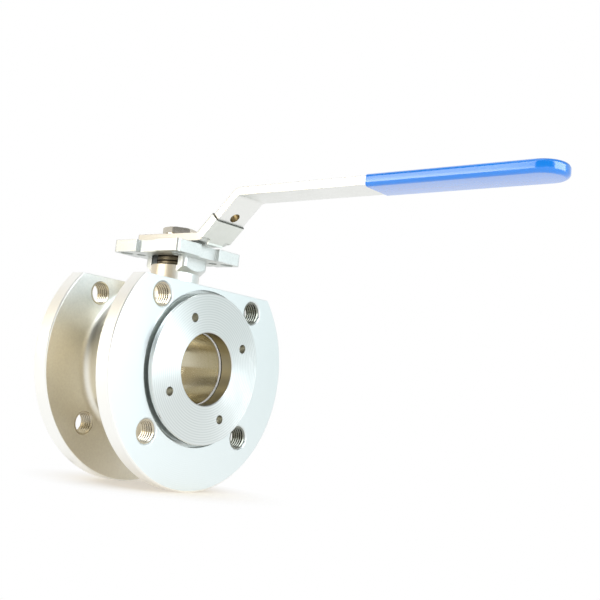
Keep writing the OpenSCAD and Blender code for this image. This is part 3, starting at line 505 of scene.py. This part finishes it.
def cut_thread(start, end):
    turns = math.ceil((end - start) / PITCH) + 2
    ridge = bmesh.new()
    section = [(start - PITCH - ROOT_HALF, BURIED_R), (start - PITCH - CREST_HALF, CREST_R),
               (start - PITCH + CREST_HALF, CREST_R), (start - PITCH + ROOT_HALF, BURIED_R)]
    corners = [ridge.verts.new((x, r, 0)) for x, r in section]
    ring = ridge.faces.new(corners)
    bmesh.ops.spin(ridge, geom=[ring] + ring.edges[:] + corners, cent=(0, 0, 0), axis=(1, 0, 0),
                   dvec=(PITCH / STEPS, 0, 0), angle=2 * math.pi * turns, steps=STEPS * turns)
    for x, side in ((start, -1), (end, 1)):
        parts = ridge.verts[:] + ridge.edges[:] + ridge.faces[:]
        bmesh.ops.bisect_plane(ridge, geom=parts, plane_co=(x, 0, 0), plane_no=(side, 0, 0), clear_outer=True)
    bmesh.ops.holes_fill(ridge, edges=[e for e in ridge.edges if e.is_boundary])
    bmesh.ops.recalc_face_normals(ridge, faces=ridge.faces[:])
    return ridge


print("thread depth:", round((HOLE_R - CREST_R) / MM, 2), "mm")

# %% Copy it into the eight holes
MOUTH = 0.8 * MM
STUD_CIRCLE_R = 62.5 * MM
STUD_PLACE = STUD_CIRCLE_R * math.sqrt(0.5)


def link_piece(name, shape):
    mesh = bpy.data.meshes.new(name)
    shape.to_mesh(mesh)
    shape.free()
    piece = bpy.data.objects.new(name, mesh)
    bpy.context.scene.collection.objects.link(piece)
    return piece


threads = []
for side, end in ((1, "front"), (-1, "rear")):
    span = sorted((side * (FACE_X - FLANGE_T), side * (FACE_X - MOUTH)))
    for count, (y, z) in enumerate(((-1, 1), (1, 1), (1, -1), (-1, -1)), 1):
        ridge = cut_thread(*span)
        bmesh.ops.translate(ridge, verts=ridge.verts[:], vec=(0, y * STUD_PLACE, z * STUD_PLACE))
        thread = link_piece(f"{end}_stud_thread_{count}", ridge)
        thread.data.materials.append(tapped_steel)
        thread.data.shade_smooth()
        thread.data.set_sharp_from_angle(angle=math.radians(30))
        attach(thread, "valve_body")
        threads.append(thread)
print(len(threads), "threads of", len(threads[0].data.polygons), "faces")

# %% [markdown]
# Dipped vinyl
# The grip is made by dipping the warm lever in liquid PVC, which sets to a thick, glossy,
# slightly wavy skin. The colour is even, with a little drift from the dip, and the skin is
# smooth enough to mirror a lamp as one long, soft streak, which a coat over the base gives.

# %% Material of the grip
vinyl, tree, shader = new_material("pvc_plastisol_dipped_blue")
place = add(tree, "TexCoord").outputs["Object"]
# Runs along the dip, about 60 mm long and 8 mm wide
DIP_RUN = (1 / (60 * MM), 1 / (8 * MM), 1 / (8 * MM))
stretch = add(tree, "Mapping", {"Vector": place, "Scale": DIP_RUN}).outputs[0]
runs = add(tree, "TexNoise", {"Vector": stretch, "Scale": 1.0, "Detail": 2.0}).outputs[0]
# Orange-peel of the set skin, about 1.5 mm
peel = add(tree, "TexNoise", {"Vector": place, "Scale": 1 / (1.5 * MM), "Detail": 2.0}).outputs[0]
tone = add(tree, "Mix", {"Factor": runs, 6: linear("#0075d6"), 7: linear("#0487ec")},
           data_type="RGBA").outputs[2]
gloss = add(tree, "MapRange", {"Value": runs, "To Min": 0.12, "To Max": 0.2}).outputs[0]
bump = add(tree, "Bump", {"Height": peel, "Strength": 0.1, "Distance": 0.05 * MM}).outputs[0]
plug(tree, shader, {"IOR": 1.53, "Coat Weight": 1.0, "Coat Roughness": 0.16, "Base Color": tone,
                    "Roughness": gloss, "Normal": bump})
print(vinyl.name, len(tree.nodes), "nodes")

# %% [markdown]
# The grip
# The sleeve follows the flat bar: long straight sides, a half-round tip, and rounded edges
# with a narrow flat band between them. It is drawn as a flat outline, extruded to its
# thickness, and its long edges are bevelled. Its open end is inset to a wall and pushed in,
# so that the bar goes into a real socket.

# %% Outline, extrude and bevel the grip
# The lever's upper bend, from which the bar rises a little towards its end
KNEE = Vector((63.0, 0, 115.5)) * MM
TILT = math.radians(0.6)
LEVER_END_X = 285.6 * MM
BAR_W = 25 * MM
BAR_T = 5.5 * MM
WALL = 1.25 * MM
GRIP_L = 122 * MM
EDGE_R = 2.8 * MM
GRIP_W = BAR_W + 2 * WALL
GRIP_T = BAR_T + 2 * WALL
# Distances along the bar from the bend: its end, the start of its round tip, and the mouth
BAR_END = (LEVER_END_X - KNEE.x) / math.cos(TILT)
TIP_START = BAR_END - BAR_W / 2
MOUTH_START = BAR_END + WALL - GRIP_L

grip_mesh = bmesh.new()
near = grip_mesh.verts.new((MOUTH_START, -GRIP_W / 2, 0))
tip_near = grip_mesh.verts.new((TIP_START, -GRIP_W / 2, 0))
grip_mesh.edges.new((near, tip_near))
bmesh.ops.spin(grip_mesh, geom=[tip_near], cent=(TIP_START, 0, 0), axis=(0, 0, 1), angle=math.pi, steps=40)
tip_far = max(grip_mesh.verts, key=lambda v: v.co.y)
far = grip_mesh.verts.new((MOUTH_START, GRIP_W / 2, 0))
grip_mesh.edges.new((tip_far, far))
grip_mesh.edges.new((far, near))
outline = bmesh.ops.contextual_create(grip_mesh, geom=grip_mesh.edges[:])["faces"]
lifted = bmesh.ops.extrude_face_region(grip_mesh, geom=outline, use_keep_orig=True)
raised = [v for v in lifted["geom"] if isinstance(v, bmesh.types.BMVert)]
bmesh.ops.translate(grip_mesh, verts=raised, vec=(0, 0, GRIP_T))
bmesh.ops.recalc_face_normals(grip_mesh, faces=grip_mesh.faces[:])
# All level edges are rounded, except those of the mouth
LEVEL = 0.001 * MM
long_edges = [e for e in grip_mesh.edges if abs(e.verts[0].co.z - e.verts[1].co.z) < LEVEL
              and max(v.co.x for v in e.verts) > MOUTH_START + 1 * MM]
bmesh.ops.bevel(grip_mesh, geom=long_edges, offset=EDGE_R, segments=9, profile=0.5, affect="EDGES",
                material=-1)
print("grip outline:", len(grip_mesh.faces), "faces")

# %% Open the mouth and set the grip on the lever
# The socket ends short of the bar's round end
SOCKET_END = BAR_END - 14 * MM
mouth = max((f for f in grip_mesh.faces if f.normal.x < -0.99), key=lambda f: f.calc_area())
bmesh.ops.inset_region(grip_mesh, faces=[mouth], thickness=WALL, use_even_offset=True)
pocket = bmesh.ops.extrude_discrete_faces(grip_mesh, faces=[mouth])["faces"]
bmesh.ops.translate(grip_mesh, verts=pocket[0].verts[:], vec=(SOCKET_END - MOUTH_START, 0, 0))
bmesh.ops.translate(grip_mesh, verts=grip_mesh.verts[:], vec=(0, 0, BAR_T / 2 - GRIP_T / 2))
bmesh.ops.rotate(grip_mesh, verts=grip_mesh.verts[:], cent=(0, 0, 0), matrix=Matrix.Rotation(-TILT, 3, "Y"))
bmesh.ops.translate(grip_mesh, verts=grip_mesh.verts[:], vec=KNEE)
grip = link_piece("vinyl_grip", grip_mesh)
grip.data.materials.append(vinyl)
grip.data.shade_smooth()
grip.data.set_sharp_from_angle(angle=math.radians(35))
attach(grip, "stem_and_lever")
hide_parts("grip_sleeve")
print("grip:", len(grip.data.polygons), "faces")

# %% [markdown]
# Studio
# The photograph was taken on a white sweep under large soft lamps. The floor is a pale
# sheet that keeps a contact shadow under the valve, with a warm tint painted into the sheet there,
# and is white from about 10 cm out.
# That white is a glow which only the camera and reflections see, so it puts no more light
# on the valve: diffuse light still meets plain paper. The world is white at a strength of 1.

# %% Floor
FLOOR_HALF = 6.0
floor_mesh = bmesh.new()
bmesh.ops.create_grid(floor_mesh, x_segments=1, y_segments=1, size=FLOOR_HALF)
bmesh.ops.translate(floor_mesh, verts=floor_mesh.verts[:], vec=(0, 0, -FLANGE_R))
floor = link_piece("studio_floor", floor_mesh)
paper, tree, shader = new_material("studio_paper_white")
place = add(tree, "TexCoord").outputs["Object"]
# The shadow's patch is an oval, longer along the flow; it fades from 30 mm to 80 mm out
oval = add(tree, "Mapping", {"Vector": place, "Scale": (0.75, 1.0, 0.0)}).outputs[0]
away = add(tree, "VectorMath", {0: oval}, operation="LENGTH").outputs["Value"]
clear = add(tree, "MapRange", {"Value": away, "From Min": 30 * MM, "From Max": 80 * MM}).outputs[0]
fade = add(tree, "MapRange", {"Value": clear, "To Min": 0.4, "To Max": 1.0}).outputs[0]
ray = add(tree, "LightPath").outputs
seen = add(tree, "Math", {0: ray["Is Camera Ray"], 1: ray["Is Glossy Ray"]}, operation="MAXIMUM").outputs[0]
seen = add(tree, "Math", {0: seen, 1: ray["Is Transmission Ray"]}, operation="MAXIMUM").outputs[0]
white_share = add(tree, "Math", {0: seen, 1: fade}, operation="MULTIPLY").outputs[0]
# The sheet is painted warm near the valve, a painted tint for its shade
warmth = add(tree, "Mix", {"Factor": clear, 6: linear("#f8ebd4"), 7: linear("#fcfcfc")},
             data_type="RGBA").outputs[2]
sheet = add(tree, "BsdfDiffuse", {"Color": warmth}).outputs[0]
white = add(tree, "Emission", {"Color": linear("#ffffff"), "Strength": 1.0}).outputs[0]
mixed = add(tree, "MixShader", {0: white_share, 1: sheet, 2: white}).outputs[0]
plug(tree, tree.nodes["Material Output"], {"Surface": mixed})
floor.data.materials.append(paper)
print("floor at z =", -FLANGE_R)

# %% World
world = bpy.data.worlds.new("white_studio")
bpy.context.scene.world = world
world.use_nodes = True
tree = world.node_tree
plug(tree, tree.nodes["Background"], {"Color": linear("#ffffff"), "Strength": 1.0})
print("world: white")

# %% [markdown]
# Cards
# Metal only shows its shape by what it mirrors, so a white room alone would leave it flat.
# A photographer hangs dark and tinted cards where the camera can't see them, and here each
# card shows in reflections only. The dark one by the camera gives the grip and the nut their
# dark sides, the two standing behind the valve show in the bore as brown bands, the cool one
# at the right shows in the flange's face, and the grey one overhead gives the turned face its
# fan. The dark one on the table behind the valve is painted shadow: it stands in for the
# valve's shade on the table, which the bore mirrors.

# %% Hang the cards
def hang_card(name, size, place, aim, colour):
    shape = bmesh.new()
    bmesh.ops.create_grid(shape, x_segments=1, y_segments=1, size=0.5)
    bmesh.ops.scale(shape, verts=shape.verts[:], vec=(size[0], size[1], 1))
    turn = (Vector(aim) - Vector(place)).to_track_quat("Z", "Y").to_matrix()
    bmesh.ops.rotate(shape, verts=shape.verts[:], cent=(0, 0, 0), matrix=turn)
    bmesh.ops.translate(shape, verts=shape.verts[:], vec=place)
    card = link_piece(name, shape)
    paint, tree, shader = new_material(name + "_paint")
    glow = add(tree, "Emission", {"Color": linear(colour), "Strength": 1.0}).outputs[0]
    plug(tree, tree.nodes["Material Output"], {"Surface": glow})
    card.data.materials.append(paint)
    card.visible_camera = False
    card.visible_diffuse = False
    card.visible_shadow = False
    return card


# Each card has its width and height, its place and the point it faces, in metres
cards = [
    hang_card("dark_card_camera", (2.5, 1.9), (0.725, -1.22, 1.3), (0.28, 0, 1.3), "#3a3d3b"),
    hang_card("tan_card_camera", (0.9, 0.3), (0.31, -1.26, 0.2), (0, 0, 0.2), "#b3a88c"),
    hang_card("cool_card_right", (2.2, 1.6), (1.5, 1.5, 0.2), (0, 0, 0), "#e6f0f1"),
    hang_card("brown_card_behind", (0.552, 0.9), (-0.875, -0.625, 0.37), (-0.125, 0.125, 0.37), "#c6ba9f"),
    hang_card("dark_card_behind", (0.7, 1.0), (-0.6, -0.71, 1.15), (0, 0, 0), "#4e4636"),
    # Painted shadow: a dark card standing in for the valve's shade on the table
    hang_card("table_shadow_card", (0.09, 0.14), (-0.095, 0.035, -0.081), (-0.095, 0.035, 0.5), "#4e4636"),
    hang_card("grey_card_above", (2.0, 2.0), (0.6, 0.6, 1.5), (0, 0, 0), "#a5a7a6"),
]
print("cards:", [card.name for card in cards])

# %% [markdown]
# Lamps
# Two warm strips at the left light the rims, the pad's side and the lever's edge, and a
# large cool lamp in front lights the flange's face. They only show in reflections, which is
# how metal is lit, so the paper and the vinyl keep their own colours. A small lamp by the
# camera fills those two instead, and stays out of the reflections.

# %% Set the lamps
def hang_lamp(name, place, aim, size, watts, colour):
    light = bpy.data.lights.new(name, "AREA")
    light.shape = "RECTANGLE"
    light.size, light.size_y = size
    light.energy = watts
    light.color = linear(colour)[:3]
    lamp = bpy.data.objects.new(name, light)
    bpy.context.scene.collection.objects.link(lamp)
    turn = (Vector(place) - Vector(aim)).to_track_quat("Z", "Y").to_matrix().to_4x4()
    lamp.matrix_world = Matrix.Translation(place) @ turn
    lamp.visible_camera = False
    return lamp


mirrored = [
    hang_lamp("warm_lamp_low", (-0.47, -1.063, 0.2), (0.212, -0.075, 0.2), (0.617, 0.4), 3.5, "#fff9f0"),
    hang_lamp("warm_lamp_high", (-0.47, -1.063, 1.1), (0.212, -0.075, 1.1), (0.617, 1.4), 6.4, "#fff9f0"),
    hang_lamp("cool_lamp_front", (1.6, 0.1, 0.9), (0.2, 0.1, 0.9), (1.5, 1.9), 39, "#f2f8ff"),
]
for lamp in mirrored:
    lamp.visible_diffuse = False
fill = hang_lamp("fill_lamp_camera", (0.9, -1.0, 0.0), (0, 0, 0), (0.5, 0.4), 5, "#ffffff")
fill.visible_glossy = False
print("lamps:", [lamp.name for lamp in mirrored + [fill]])

# %% [markdown]
# Finish
# The view transform stays Standard, so a colour comes out about as it was written.

# %% Set the view transform
bpy.context.scene.view_settings.view_transform = "Standard"
